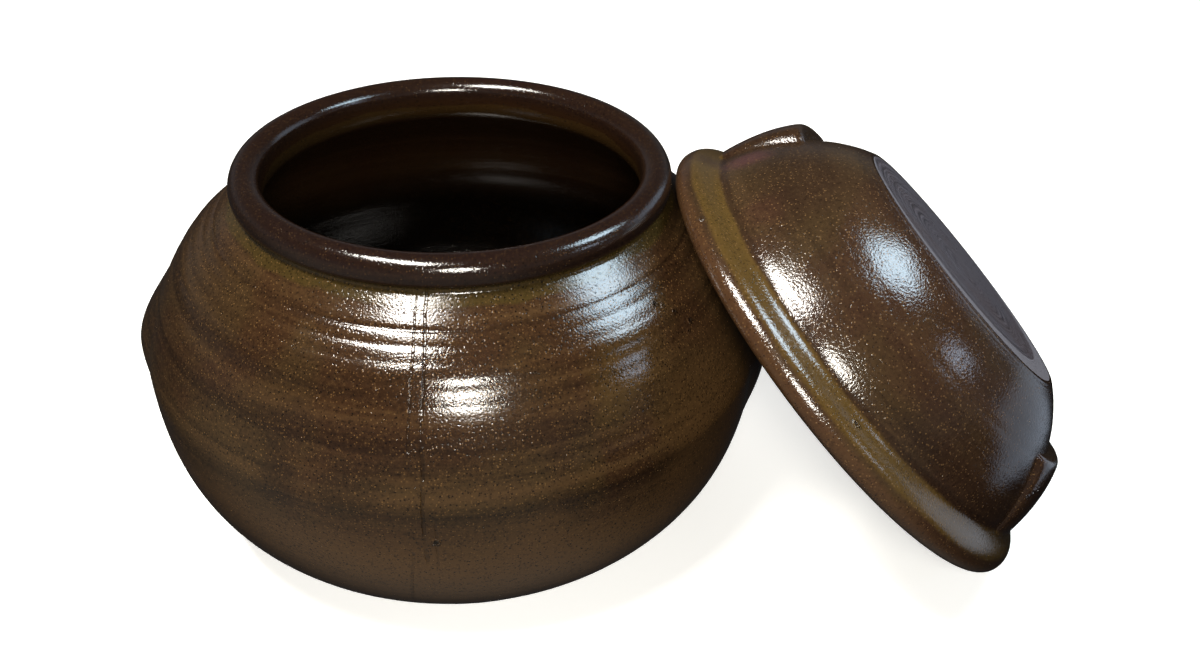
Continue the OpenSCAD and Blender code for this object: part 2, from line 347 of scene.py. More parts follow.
# A joint that runs down the wall: a mask for each of its dark lines, which sway slightly and are broken.
def jointLines(tree, joint, own, split):
    around = addNode(tree, "ShaderNodeMath", {0: split[1], 1: split[0]}, operation="ARCTAN2")
    sway = addNode(tree, "ShaderNodeTexNoise", {
        "Vector": own, "Scale": 28.0, "Detail": 5.0, "Roughness": 0.7})
    sway = addNode(tree, "ShaderNodeMapRange", {0: sway, 1: 0.3, 2: 0.7, 3: -0.008, 4: 0.008})
    around = addNode(tree, "ShaderNodeMath", {0: around, 1: sway}, operation="ADD")
    broken = addNode(tree, "ShaderNodeTexNoise", {"Vector": own, "Scale": 150.0, "Detail": 2.0})
    lines = []
    # each line fades out over the last 6 mm below and 1.5 mm above
    for degrees, lean, low, high, halfWidth, strength in joint:
        middle = {0: split[2], 1: lean / mm, 2: math.radians(degrees)}
        middle = addNode(tree, "ShaderNodeMath", middle, operation="MULTIPLY_ADD")
        off = addNode(tree, "ShaderNodeMath", {0: around, 1: middle}, operation="SUBTRACT")
        off = addNode(tree, "ShaderNodeMath", {0: off}, operation="ABSOLUTE")
        lines.append(product(tree, [
            (off, halfWidth, halfWidth * 0.35), (split[2], (low - 6) * mm, low * mm),
            (split[2], (high + 1.5) * mm, high * mm), (broken, 0.38, 0.52, 0.35, strength)]))
    return lines


# Pits and blisters: masks of each ragged crater and of the raised ring around it, and how deep it is.
def glazePits(tree, pits, own, peel):
    craters = []
    for centre, radius, depth in pits:
        size = radius * mm
        centre = [c * mm for c in centre]
        off = addNode(tree, "ShaderNodeVectorMath", {0: own, 1: centre}, "Value", operation="DISTANCE")
        # the orange peel, which is about a half on average, makes the edge ragged
        off = addNode(tree, "ShaderNodeMath", {0: peel, 1: 1.6 * size, 2: off}, operation="MULTIPLY_ADD")
        off = addNode(tree, "ShaderNodeMath", {0: off, 1: 0.8 * size}, operation="SUBTRACT")
        hole = product(tree, [(off, size, 0.5 * size)])
        ring = product(tree, [(off, 2.0 * size, 1.2 * size), (off, 0.5 * size, size)])
        craters.append((hole, ring, depth))
    return craters


# Glazed stoneware: a glassy brown ash and iron glaze over grainy clay. It is glossy with an orange-peel skin,
# runs thin and light over grains and edges, and pools darker or more olive where it is thick.
def glazedStoneware(name, look, origin=(0, 0, 0), turn=(0, 0, 0)):
    material, tree = newMaterial(name)
    own = ownPlace(tree, origin, turn)
    split = addNode(tree, "ShaderNodeSeparateXYZ", {0: own}, "all")
    height = split[2]

    # clouds of brown and olive, about 60 mm across
    cloud = addNode(tree, "ShaderNodeTexNoise", {
        "Vector": own, "Scale": look["cloudScale"], "Detail": 4.0, "Roughness": 0.6, "Distortion": 0.6})
    layers = [(look["olive"], (cloud, 0.40, 0.62))]
    # horizontal streaks a few millimetres high, left by the wheel and the wiping cloth
    flat = addNode(tree, "ShaderNodeMapping", {"Vector": own, "Scale": look["streakScale"]})
    streak = addNode(tree, "ShaderNodeTexNoise", {
        "Vector": flat, "Scale": 1.0, "Detail": 5.0, "Roughness": 0.65, "Distortion": 0.25})
    layers.append((look["dark"], (streak, 0.47, 0.66, 0.0, look["streakDark"])))
    layers.append((look["light"], (streak, 0.50, 0.34, 0.0, look["streakLight"])))
    # purplish patches where the iron is thick
    patch = addNode(tree, "ShaderNodeTexNoise", {
        "Vector": own, "Scale": look["cloudScale"] * 0.7, "Detail": 3.0})
    layers.append((look["purple"], (patch, 0.55, 0.72, 0.0, look["purpleShare"])))
    # long tongues where the wet glaze ran down the lower wall
    if "tongues" in look:
        low, high, share = look["tongues"]
        tall = addNode(tree, "ShaderNodeMapping", {"Vector": own, "Scale": (24, 24, 5)})
        tongue = addNode(tree, "ShaderNodeTexNoise", {
            "Vector": tall, "Scale": 1.0, "Detail": 3.0, "Distortion": 0.4})
        layers.append((look["dark"], (tongue, 0.50, 0.60, 0.0, share), (height, high * mm, low * mm)))
    # thrown rings: the glaze is darker in the hollows
    ridge = addNode(tree, "ShaderNodeAttribute", out="Fac", attribute_name="ridge")
    layers.append((look["dark"], (ridge, 0.1, 1.0, 0.0, look["ridgeDark"])))
    # bands at their own heights on the wheel, each with a wandering edge
    wander = addNode(tree, "ShaderNodeTexNoise", {"Vector": own, "Scale": 45.0, "Detail": 4.0})
    wander = addNode(tree, "ShaderNodeMapRange", {
        0: wander, 1: 0.3, 2: 0.7, 3: -look["wander"] * mm, 4: look["wander"] * mm})
    level = addNode(tree, "ShaderNodeMath", {0: height, 1: wander}, operation="ADD")
    for low, high, soft, share, band in look["bands"]:
        fadeIn, fadeOut = (level, (low - soft) * mm, low * mm), (level, (high + soft) * mm, high * mm)
        layers.append((band, fadeIn, fadeOut, share))
    # a stain around each point, with a ragged edge
    for centre, radius, share, stain in look["stains"]:
        centre = [c * mm for c in centre]
        off = addNode(tree, "ShaderNodeVectorMath", {0: own, 1: centre}, "Value", operation="DISTANCE")
        off = addNode(tree, "ShaderNodeMath", {0: wander, 1: 8.0, 2: off}, operation="MULTIPLY_ADD")
        near = (off, radius * mm, radius * 0.25 * mm, 0.0, share)
        layers.append((stain, near, (patch, 0.35, 0.6, 0.5, 1.0)))
    # the inside is darker and browner; deep down in the jar it is painted shade, near black, where little
    # light comes in through the mouth
    inner = addNode(tree, "ShaderNodeAttribute", out="Fac", attribute_name="inside")
    layers.append((look["insideColour"], inner, look["insideShare"]))
    if "insidePaintedShade" in look:
        low, high, deep = look["insidePaintedShade"]
        layers.append((deep, inner, (level, high * mm, low * mm)))

    # fine mottling of about 1.5 mm, where the glaze breaks over the grog in the clay, weaker inside and on
    # the rim, which starts between the quiet heights
    lively = [(inner, 0.6, 0.1, 0.15, 1.0)]
    if "quiet" in look:
        low, high = look["quiet"]
        lively.append((level, high * mm, low * mm, 0.3, 1.0))
    lively = product(tree, lively)
    mottle = addNode(tree, "ShaderNodeTexNoise", {
        "Vector": own, "Scale": look["mottleScale"], "Detail": 3.0, "Roughness": 0.7})
    layers.append((look["dark"], lively, (mottle, 0.52, 0.68, 0.0, look["mottleShare"])))
    layers.append((look["light"], lively, (mottle, 0.48, 0.32, 0.0, look["mottleShare"] * 0.7)))
    # specks: pale sand and black iron; real ones are 0.2 to 0.6 mm, drawn up to 1 mm so that they show
    sandCells = addNode(tree, "ShaderNodeTexVoronoi", {"Vector": own, "Scale": look["sandScale"]}, "all")
    chance = addNode(tree, "ShaderNodeSeparateColor", {0: sandCells["Color"]})
    sand = product(tree, [(sandCells["Distance"], 0.36, 0.18), (chance, 0.25, 0.95), lively])
    ironCells = addNode(tree, "ShaderNodeTexVoronoi", {"Vector": own, "Scale": look["ironScale"]}, "all")
    chance = addNode(tree, "ShaderNodeSeparateColor", {0: ironCells["Color"]}, 1)
    iron = product(tree, [(ironCells["Distance"], 0.38, 0.18), (chance, 0.2, 0.9)])
    layers.append((look["iron"], iron, look["ironShare"]))
    layers.append((look["sand"], sand, look["sandShare"]))

    # skin of the glaze: orange peel of about 1 mm, wheel lines and grains
    peel = addNode(tree, "ShaderNodeTexNoise", {
        "Vector": own, "Scale": look["peelScale"], "Detail": 2.0, "Roughness": 0.55})
    lines = addNode(tree, "ShaderNodeMapping", {"Vector": own, "Scale": (9, 9, 420)})
    lines = addNode(tree, "ShaderNodeTexNoise", {"Vector": lines, "Scale": 1.0, "Detail": 3.0})
    heights = [(peel, look["peelHeight"]), (lines, look["lineHeight"]),
               (sand, look["grainHeight"]), (iron, -look["grainHeight"])]
    if "joint" in look:
        for line in jointLines(tree, look["joint"], own, split):
            layers.append((look["iron"], line, look["jointDark"]))
            heights.append((line, -look["jointDepth"]))
    for hole, ring, depth in glazePits(tree, look["pits"], own, peel):
        layers.append((look["iron"], hole, look["pitDark"]))
        heights += [(hole, -depth), (ring, depth * look["pitRing"])]

    smooth, rough = look["roughness"]
    gloss = addNode(tree, "ShaderNodeMapRange", {0: cloud, 1: 0.3, 2: 0.7, 3: smooth, 4: rough})
    shader = addNode(tree, "ShaderNodeBsdfPrincipled", {
        "Base Color": paint(tree, look["brown"], layers), "Roughness": gloss,
        "Normal": bumpFrom(tree, heights), "IOR": 1.58})
    addNode(tree, "ShaderNodeOutputMaterial", {0: shader})
    return material


# Trimmed stoneware: clay cut with a loop tool on the wheel and left bare or barely wiped. It is greyish brown
# and half matte, with fine rings and dragged grit that catch light at a low angle.
def trimmedClay(name, look, origin=(0, 0, 0), turn=(0, 0, 0)):
    material, tree = newMaterial(name)
    own = ownPlace(tree, origin, turn)
    split = addNode(tree, "ShaderNodeSeparateXYZ", {0: own}, "all")
    onPlane = addNode(tree, "ShaderNodeCombineXYZ", {0: split[0], 1: split[1]})
    radius = addNode(tree, "ShaderNodeVectorMath", {0: onPlane}, "Value", operation="LENGTH")
    # rings about 2 mm apart with finer ones between them
    drift = addNode(tree, "ShaderNodeTexNoise", {"Vector": own, "Scale": 30.0, "Detail": 2.0})
    radius = addNode(tree, "ShaderNodeMath", {0: drift, 1: 2.5 * mm, 2: radius}, operation="MULTIPLY_ADD")
    turns = addNode(tree, "ShaderNodeMath", {0: radius, 1: 0.5 / mm}, operation="MULTIPLY")
    rings = addNode(tree, "ShaderNodeTexNoise", {"W": turns, "Scale": 1.0, "Detail": 3.0, "Roughness": 0.7},
                    noise_dimensions="1D")
    grit = addNode(tree, "ShaderNodeTexNoise", {
        "Vector": own, "Scale": 900.0, "Detail": 3.0, "Roughness": 0.7})
    layers = [(look["pale"], (rings, 0.35, 0.65)), (look["flush"], (drift, 0.45, 0.65, 0.0, 0.5)),
              (look["grit"], (grit, 0.60, 0.72, 0.0, 0.6))]
    # a pale band round an off-centre middle, so that it widens to one side: a painted reflection of light
    # across the flat top
    if "rim" in look:
        centre, start, pale = look["rim"]
        centre = [c * mm for c in centre]
        off = addNode(tree, "ShaderNodeVectorMath", {0: onPlane, 1: centre}, "Value", operation="DISTANCE")
        layers.append((pale, (off, (start - 0.25) * mm, (start + 0.25) * mm, 0.0, 0.85)))
    shader = addNode(tree, "ShaderNodeBsdfPrincipled", {
        "Base Color": paint(tree, look["dark"], layers), "IOR": 1.5,
        "Roughness": product(tree, [(grit, 0.3, 0.7) + look["roughness"]]),
        "Normal": bumpFrom(tree, [(rings, look["ringHeight"]), (grit, look["gritHeight"])])})
    addNode(tree, "ShaderNodeOutputMaterial", {0: shader})
    return material


# Quartz sand and iron grains under a skin of glaze: small glossy beads, each tan, ochre or black.
def grainMaterial(name, look):
    material, tree = newMaterial(name)
    place = addNode(tree, "ShaderNodeTexCoord", out="Object")
    cell = addNode(tree, "ShaderNodeVectorMath", {0: place, 1: (1.5 * mm,) * 3}, operation="SNAP")
    tint = addNode(tree, "ShaderNodeTexWhiteNoise", {"Vector": cell}, "Value", noise_dimensions="3D")
    layers = [(look["ochre"], (tint, 0.35, 0.6)), (look["tan"], (tint, 0.75, 0.95))]
    colour = paint(tree, look["black"], layers)
    shader = addNode(tree, "ShaderNodeBsdfPrincipled", {"Base Color": colour, "Roughness": 0.3, "IOR": 1.52})
    addNode(tree, "ShaderNodeOutputMaterial", {0: shader})
    return material


# Height of an ear over the wall at each point of a way along it: it grows over its slope, then rounds off.
def earHeights(travel, ear, slope, reach):
    spacing, margin = 0.1, 12
    fine = np.arange(travel[0] - margin, travel[-1] + margin, spacing)
    t = np.clip((fine - travel[0]) / slope, 0, 1)
    # partly an even climb and partly one that starts and ends gently
    rising = reach * (ear["footShare"] + (1 - ear["footShare"]) * (0.35 * t + 0.65 * t ** 2 * (3 - 2 * t)))
    past = np.clip((fine - travel[0] - slope) / ear["rounding"], 0, 1)
    heights = np.where(fine < travel[0], 0, rising * np.sqrt(1 - past ** 2))
    return np.interp(travel, fine, soften(heights, spacing, ear["endSoftness"], 60))


# An ear is a swelling that follows a wall: line is the wall's line, and heights the ear's height over it at
# each point. Its skin rises out of the wall, and a back sheet inside the wall closes it.
def earPiece(name, ear, angle, line, heights, material, place=None):
    overhang = 1.16  # the skin runs this much wider than the ear and sinks into the wall there
    across = np.linspace(-1, 1, ear["columns"] + 1)
    spacing = 0.005
    fine = np.linspace(-1.3, 1.3, 521)
    side = soften(np.clip(1 - fine ** 2, 0, None) ** ear["fullness"], spacing, ear["sideSoftness"], 100)
    side = np.interp(across * overhang, fine, side)
    halfTurn = ear["halfAngle"] * overhang
    sunk = ear["bury"] * np.clip(1 - heights / ear["endFade"], 0, 1) * 0.8
    outward = normals(line)
    rows, columns = len(line), len(across)
    skin, back = [], []
    for u, s in zip(across, side):
        turn = math.radians(angle + u * halfTurn)
        for j in range(rows):
            lift = heights[j] * s - ear["bury"] * (1 - s) ** 2 - sunk[j]
            for sheet, off in ((skin, lift), (back, -ear["backing"])):
                r, z = line[j] + outward[j] * off
                sheet.append((r * math.cos(turn) * mm, r * math.sin(turn) * mm, z * mm))
    half = len(skin)
    faces = []
    for i in range(columns - 1):
        for j in range(rows - 1):
            a, b = i * rows + j, (i + 1) * rows + j
            faces += [(a, b, b + 1, a + 1), (half + a + 1, half + b + 1, half + b, half + a)]
    # a strip joins the two sheets all the way round their edge
    last = (columns - 1) * rows
    edge = list(range(rows)) + list(range(2 * rows - 1, last + rows, rows))
    edge += list(range(last + rows - 2, last - 1, -1)) + list(range(last - rows, 0, -rows))
    faces += [(a, b, half + b, half + a) for a, b in zip(edge, edge[1:] + edge[:1])]
    mesh = bpy.data.meshes.new(name)
    mesh.from_pydata(skin + back, [], faces)
    mesh.validate()
    mesh.polygons.foreach_set("use_smooth", [True] * len(mesh.polygons))
    # the glaze reads these, which are 0 all over an ear
    for label in ("ridge", "inside"):
        mesh.attributes.new(label, "FLOAT", "POINT")
    mesh.materials.append(material)
    piece = addObject(name, mesh)
    if place:
        mesh.transform(place)
    faceOutwards(mesh)
    return piece


# Turns a closed mesh the right way out if its volume comes out negative.
def faceOutwards(mesh):
    mesh.calc_loop_triangles()
    points = np.zeros(len(mesh.vertices) * 3)
    mesh.vertices.foreach_get("co", points)
    corners = np.zeros(len(mesh.loop_triangles) * 3, int)
    mesh.loop_triangles.foreach_get("vertices", corners)
    a, b, c = points.reshape(-1, 3)[corners.reshape(-1, 3)].transpose(1, 0, 2)
    volume = np.einsum("ij,ij->i", a, np.cross(b, c)).sum() / 6
    if volume < 0:
        mesh.flip_normals()
    print("  ", mesh.name, len(mesh.loop_triangles), "triangles,", round(abs(volume) * 1e6, 1), "ml of clay")


wheelTree = makeWheelTree()
grainTree = makeGrainTree()
print("trees made")

# the jar, in millimetres from the middle of its foot
jar = {
    "footEdge": [(92.4, 0.0), (93.35, 0.3)], "footRadius": 93.3, "footLean": 39.3,
    "bellyRadius": 129.1, "bellyHeight": 82.3, "shoulder": (105.2, 128.5), "neck": (87.24, 143.9),
    # how far the walls under and over the belly keep the direction of their ends, as shares of their climb
    "lowerPull": (0.28, 0.66), "upperPull": (0.12, 0.36),
    "groove": [(86.1, 145.0), (85.75, 146.2), (86.3, 147.2)],
    "rimStart": (87.4, 147.95), "rimEdge": (88.0, 148.8),
    "rimCentre": (81.85, 151.2), "rimAcross": 6.35, "rimUp": 7.0, "rimFromAngle": -17, "rimInnerUp": 6.0,
    # the inside wall from the mouth down to the floor, guessed where it isn't seen
    "inside": [(75.4, 147.5), (75.8, 142.9), (78.0, 139.8), (81.5, 137.3), (90.5, 130.2), (100, 122.2),
               (103.6, 118.7), (110.3, 108.9), (115.9, 97.9), (119.7, 88.2), (121.1, 80), (120.4, 68.4),
               (118.4, 56.8), (115.4, 47.3), (111.6, 39.5), (107.2, 33), (102.4, 27.5), (97.6, 22.5),
               (92.9, 17.8), (88.5, 13), (82.0, 9.6)],
    "floorRadius": 74, "floorHeight": 9,
    "turns": 256, "ridgeDepth": 0.3, "unevenness": 0.35, "unevennessSize": 14.0, "seed": 3.7,
    # finger rings of each wall: the strong ones (height, depth, half width), then the faint ones' distance
    # apart, depth and seed; depths are shares of ridgeDepth
    "lowFingers": ([], 6.5, 0.16, 5), "insideFingers": ([], 9.0, 0.9, 4),
    "highFingers": ([(136.4, 1.1, 0.8), (132.6, 0.6, 1.1), (128.6, 0.35, 1.3), (123.4, 0.5, 1.4),
                     (117.6, 0.4, 1.8), (108.0, 0.35, 2.0), (97.5, 0.3, 2.0)], 5.0, 0.16, 8),
}
jarGlaze = {
    "brown": "#322113", "olive": "#362816", "dark": "#140c07", "light": "#4a3620", "purple": "#241512",
    # scales are in features per metre
    "cloudScale": 17.0, "streakScale": (4, 4, 150), "streakDark": 0.6, "streakLight": 0.6,
    "purpleShare": 0.55,
    # tongues: full below the first height, none over the second, and their share
    "tongues": (30, 90, 0.45), "ridgeDark": 0.3, "wander": 1.0,
    "mottleScale": 680.0, "mottleShare": 0.5, "quiet": (147, 149),
    # from and to height, softness, share, colour; the first band, lighter over the lower wall, is painted
    # light that stands in for light thrown up from the floor
    "bands": [(6, 48, 34, 0.85, "#62482c"), (-5, 5, 5, 0.5, "#1f150c"), (108, 142, 10, 0.2, "#2e1d12"),
              (142.4, 147.2, 1.4, 0.8, "#382d13"), (147.9, 170, 0.7, 0.88, "#180e0c")],
    # the deep inside: full below the first height, none over the second; its near-black colour is painted
    # shade
    "insideShare": 0.75, "insideColour": "#241509", "insidePaintedShade": (74, 104, "#030201"),
    # smudges of thick glaze and paler places: centre, radius, share, colour; the last one, broad and pale on
    # the right side, is painted light
    "stains": [((-65.4, -107.9, 90.0), 17, 0.75, "#1f150d"), ((-42.0, -119.2, 88.0), 15, 0.6, "#20160d"),
               ((-58.0, -106.0, 103.0), 12, 0.5, "#241811"), ((-90.5, -90.1, 58.0), 22, 0.5, "#553d24"),
               ((20.0, -124.0, 60.0), 26, 0.4, "#553d24"), ((52.0, -96.0, 118.0), 24, 0.4, "#4a3a18"),
               ((95.0, -80.0, 84.0), 46, 0.8, "#553d24")],
    "sandScale": 980.0, "sand": "#7a5b35", "sandShare": 0.45,
    "ironScale": 820.0, "iron": "#0a0604", "ironShare": 0.85,
    "peelScale": 1150.0, "peelHeight": 0.08, "lineHeight": 0.05, "grainHeight": 0.03,
    "roughness": (0.10, 0.18),
    # angle at height 0, its change in radians per mm, from and to height, half width in radians, strength
    "joint": [(-97.2, 0.0, 60, 145, 0.0075, 1.0), (-99.4, 0.0, 100, 143, 0.006, 0.8),
              (-95.4, 0.0, 58, 78, 0.005, 0.5), (-103.5, 0.0012, 25, 62, 0.006, 0.5)],
    "jointDark": 0.4, "jointDepth": 0.35,
    # pits: centre, radius, depth; pitRing is the height of the ring around one as a share of its depth
    "pitDark": 0.85, "pitRing": 0.6,
    "pits": [((-12.4, -127.9, 68.6), 1.1, 0.6), ((71.0, -74.6, 130.3), 1.0, 0.6),
             ((74.5, -74.0, 129.0), 0.7, 0.5), ((79.0, -73.5, 125.8), 0.8, 0.5),
             ((85.2, -72.6, 120.8), 0.9, 0.6), ((84.6, -76.0, 118.4), 0.7, 0.5)],
}
jarClay = {
    "dark": "#3a2b20", "pale": "#5f4a38", "flush": "#6b4a34", "grit": "#8a745a",
    "ringHeight": 0.25, "gritHeight": 0.25, "roughness": (0.6, 0.85),
}
glazeOnJar = glazedStoneware("ironGlazeOnJar", jarGlaze)
clayOnJar = trimmedClay("trimmedClayUnderJar", jarClay)

foot, belly = np.array((jar["footRadius"], 0.0)), np.array((jar["bellyRadius"], jar["bellyHeight"]))
shoulder, neck = np.array(jar["shoulder"]), np.array(jar["neck"])
lean = math.radians(jar["footLean"])
climb = belly[1] - foot[1]
first, second = jar["lowerPull"]
leaving = foot + climb * first * np.array([math.sin(lean), math.cos(lean)])
lowerWall = bezier(foot, leaving, belly - [0, climb * second], belly, 80)
climb = shoulder[1] - belly[1]
first, second = jar["upperPull"]
arriving = shoulder - climb * second * unit(neck - shoulder)
upperWall = bezier(belly, belly + [0, climb * first], arriving, shoulder, 60)
rimOuter = arc(jar["rimCentre"], jar["rimAcross"], jar["rimUp"], jar["rimFromAngle"], 90, 26)[1:]
innerCentre = (jar["rimCentre"][0], jar["rimCentre"][1] + jar["rimUp"] - jar["rimInnerUp"])
rimInner = arc(innerCentre, jar["rimAcross"], jar["rimInnerUp"], 90, 180, 20)
floorEdge = (jar["floorRadius"], jar["floorHeight"])
# the outline runs from the middle of the foot over the rim to the middle of the floor; over the foot's edge
# the wall takes over at a height of 1 mm
jarBody = throwPot("jarBody", jar, [
    {"line": [(0, 0), jar["footEdge"][0]], "step": 7.0, "bare": 1, "give": 0},
    {"line": np.vstack([jar["footEdge"], lowerWall[lowerWall[:, 1] > 1.0]]), "step": 1.25,
     "fingers": jar["lowFingers"]},
    {"line": np.vstack([upperWall, neck[None]]), "step": 0.72, "fingers": jar["highFingers"]},
    {"line": through([neck] + jar["groove"] + [jar["rimStart"]], 8), "step": 0.5},
    {"line": np.vstack([jar["rimStart"], jar["rimEdge"], rimOuter]), "step": 0.8},
    {"line": rimInner, "step": 0.8, "inside": 0.15},
    {"line": through([rimInner[-1]] + jar["inside"] + [floorEdge], 10), "step": 3.0, "inside": 1,
     "fingers": jar["insideFingers"]},
    {"line": [floorEdge, (0, jar["floorHeight"])], "step": 8.0, "inside": 1},
], glazeOnJar, clayOnJar)
faceOutwards(jarBody.data)
print("jar thrown")

# ears of the jar: smooth swellings that are full at one height, run out upwards and round off downwards
jarEar = {
    "full": 78.0, "slope": 26.0, "rounding": 17.0, "reach": 5.3, "footShare": 0.0, "halfAngle": 16.0,
    "fullness": 0.9, "sideSoftness": 0.16, "endSoftness": 1.6, "endFade": 0.5, "columns": 64, "step": 0.9,
    "bury": 0.5, "backing": 3.0,
    # CAD node, angle round the jar, and how much lower than the left one it sits
    "each": {"jarEarLeft": ("jar_ear_left", 176.0, 0.0), "jarEarRight": ("jar_ear_right", 353.0, 6.0)},
}
earObjects = []
jarWall = walk(np.vstack([lowerWall, upperWall[1:], neck[None]]), jarEar["step"])
for name, (node, angle, drop) in jarEar["each"].items():
    bottom, top = jarEar["full"] - drop - jarEar["rounding"], jarEar["full"] - drop + jarEar["slope"]
    # the wall under the ear and 3 mm past its ends
    rows = jarWall[(jarWall[:, 1] > bottom - 3) & (jarWall[:, 1] < top + 3)]
    fromTop = top - rows[:, 1][::-1]
    heights = np.clip(earHeights(fromTop, jarEar, jarEar["slope"], jarEar["reach"])[::-1], 0, None)
    piece = earPiece(name, jarEar, angle, rows, heights, glazeOnJar)
    earObjects.append((piece, "jar", "jar_glaze", [node]))
print("jar ears shaped")

# the lid: a shallow bowl that leans on the jar; its lines are drawn as it stands upright on its lip
lid = {
    "origin": (160.204, -35.386, 74.350), "lean": 45.0, "facing": -5.7,
    "lipCentre": (103.2, 4.7), "lipRadius": 4.7, "lipFace": (100.7, 4.7), "lipFaceUp": 8.0, "lipToAngle": 62,
    # the valley between lip and wall: how far it keeps the lip's direction, then its points from the crease
    "crease": (96.4, 16.5), "valleyPull": 3.0, "valley": [(0.85, -2.3), (-0.35, 1.2)],
    "topRadius": 59.3, "height": 64.2, "wallPull": (0.29, 0.52), "wallStart": (-0.25, 1),
    "topSlope": (0.8838, -0.4679),
    # the softened edge of the flat top, from its corner, and the top, which dips slightly to its middle
    "edge": [(0.35, -0.4), (0.1, -0.12), (-0.3, 0.0)], "top": [(56.0, 64.15), (40, 63.95), (0, 63.9)],
    # the hollow underneath, from its middle to the seat, which isn't seen and is guessed
    "hollow": [(0.0, 56.2), (30, 56.2), (49, 56.0), (58.5, 54.6), (64.3, 51.5), (70.4, 43.5), (76.4, 32.5),
               (80.6, 22.0), (82.2, 14.6), (83.4, 14.0), (89.6, 14.0), (91.0, 12.6), (91.6, 10.8)],
    "underLip": [(93.0, 4.6), (97.5, 0.6)],
    "turns": 240, "ridgeDepth": 0.3, "unevenness": 0.3, "unevennessSize": 16.0, "seed": 9.2,
    "fingers": ([], 7.0, 0.35, 12),
}
facing, tilt = math.radians(lid["facing"]), math.radians(lid["lean"])
out = np.array([math.cos(facing), math.sin(facing), 0])
axisZ = out * math.sin(tilt) + np.array([0, 0, 1.0]) * math.cos(tilt)
axisX = np.array([-out[1], out[0], 0])
lidPlace = Matrix((axisX, np.cross(axisZ, axisX), axisZ)).transposed().to_4x4()
lidPlace.translation = [v * mm for v in lid["origin"]]
lidOrigin, lidTurn = tuple(lidPlace.translation), tuple(lidPlace.to_3x3().to_euler("XYZ"))

# the same entries as for the jar
lidGlaze = {
    "brown": "#352419", "olive": "#382a19", "dark": "#170e09", "light": "#483623", "purple": "#271713",
    "cloudScale": 15.0, "streakScale": (7, 7, 90), "streakDark": 0.35, "streakLight": 0.3, "purpleShare": 0.5,
    "ridgeDark": 0.3, "wander": 0.4, "mottleScale": 620.0, "mottleShare": 0.35,
    "bands": [(-10, 6.0, 3.0, 0.6, "#452e1c"), (10.5, 15.6, 1.8, 0.8, "#4c3a1a"),
              # the last band, darker over the upper wall towards the flat top, is painted shade
              (17.0, 18.6, 1.4, 0.5, "#1f130d"), (30, 66, 14, 0.25, "#20150d")],
    "insideShare": 0.85, "insideColour": "#1b110a",
    "stains": [((18.8, 89.6, 27.0), 13.0, 0.75, "#492a27"), ((-24.0, 90.0, 27.0), 11.0, 0.3, "#3d241c"),
               # the dark patch at (-70.5, -29.4, 48), low on the front of the wall, is painted shade
               ((30.0, 98.0, 18.0), 14.0, 0.5, "#2b1a16"), ((-70.5, -29.4, 48.0), 26.0, 0.5, "#17100b"),
               ((-90.0, 10.0, 30.0), 22.0, 0.55, "#1c120c")],
    "sandScale": 900.0, "sand": "#7d5f3b", "sandShare": 0.4,
    "ironScale": 820.0, "iron": "#0e0806", "ironShare": 0.5,
    "peelScale": 1000.0, "peelHeight": 0.12, "lineHeight": 0.02, "grainHeight": 0.03,
    "roughness": (0.10, 0.18), "pitDark": 0.85, "pitRing": 0.6,
    "pits": [((-25.5, 103.3, 8.0), 0.9, 0.6), ((-92.9, 37.1, 13.0), 1.0, 0.7),
             ((-93.6, 35.2, 13.0), 0.6, 0.4), ((-72.0, -55.5, 36.0), 0.9, 0.6),
             ((-70.5, -57.5, 37.5), 0.7, 0.5), ((-73.5, -54.5, 33.5), 0.6, 0.5)],
}
lidClay = {
    "dark": "#2c2527", "pale": "#60575b", "flush": "#4a3b39", "grit": "#777070",
    "ringHeight": 0.2, "gritHeight": 0.08, "roughness": (0.26, 0.40),
    # centre and radius of the middle, and the colour outside it, a pale band that is a painted reflection
    "rim": ((5.2, 2.4, 0.0), 52.5, "#7f787b"),
}
glazeOnLid = glazedStoneware("ironGlazeOnLid", lidGlaze, lidOrigin, lidTurn)
clayOnLid = trimmedClay("trimmedClayOnLid", lidClay, lidOrigin, lidTurn)

crease, top = np.array(lid["crease"]), np.array((lid["topRadius"], lid["height"]))
lipX, lipZ = lid["lipCentre"]
lipReach = lipX + lid["lipRadius"] - lid["lipFace"][0]
lip = np.vstack([arc(lid["lipCentre"], lid["lipRadius"], lid["lipRadius"], -90, 0, 16),
                 arc(lid["lipFace"], lipReach, lid["lipFaceUp"], 0, lid["lipToAngle"], 16)[1:]])
leaving = lip[-1] + lid["valleyPull"] * unit(lip[-1] - lip[-2])
valley = bezier(lip[-1], leaving, *(crease + np.array(lid["valley"])), 24)
climb = top[1] - crease[1]
first, second = lid["wallPull"]
leaving = crease + climb * first * unit(lid["wallStart"])
arriving = top + climb * second * np.array(lid["topSlope"])
lidWall = bezier(crease, leaving, arriving, top, 60)
edge = top + np.array(lid["edge"])
# from the middle of the hollow over the lip to the middle of the top; the wall takes over from the valley
# 2.2 mm over the crease
lidBowl = throwPot("lidBowl", lid, [
    {"line": through(lid["hollow"], 8), "step": 2.6, "inside": 1},
    {"line": bezier(lid["hollow"][-1], *lid["underLip"], (lipX, lipZ - lid["lipRadius"]), 20), "step": 1.6,
     "inside": 0.8},
    {"line": lip, "step": 0.7}, {"line": valley, "step": 0.7},
    {"line": np.vstack([valley[-1], lidWall[lidWall[:, 1] > crease[1] + 2.2][:-1], edge[0]]), "step": 0.9,
     "fingers": lid["fingers"]},
    {"line": edge},
    {"line": [edge[-1]] + lid["top"], "step": 1.6, "bare": 1, "give": 0.3},
], glazeOnLid, clayOnLid)
lidBowl.data.transform(lidPlace)
faceOutwards(lidBowl.data)
print("lid thrown")

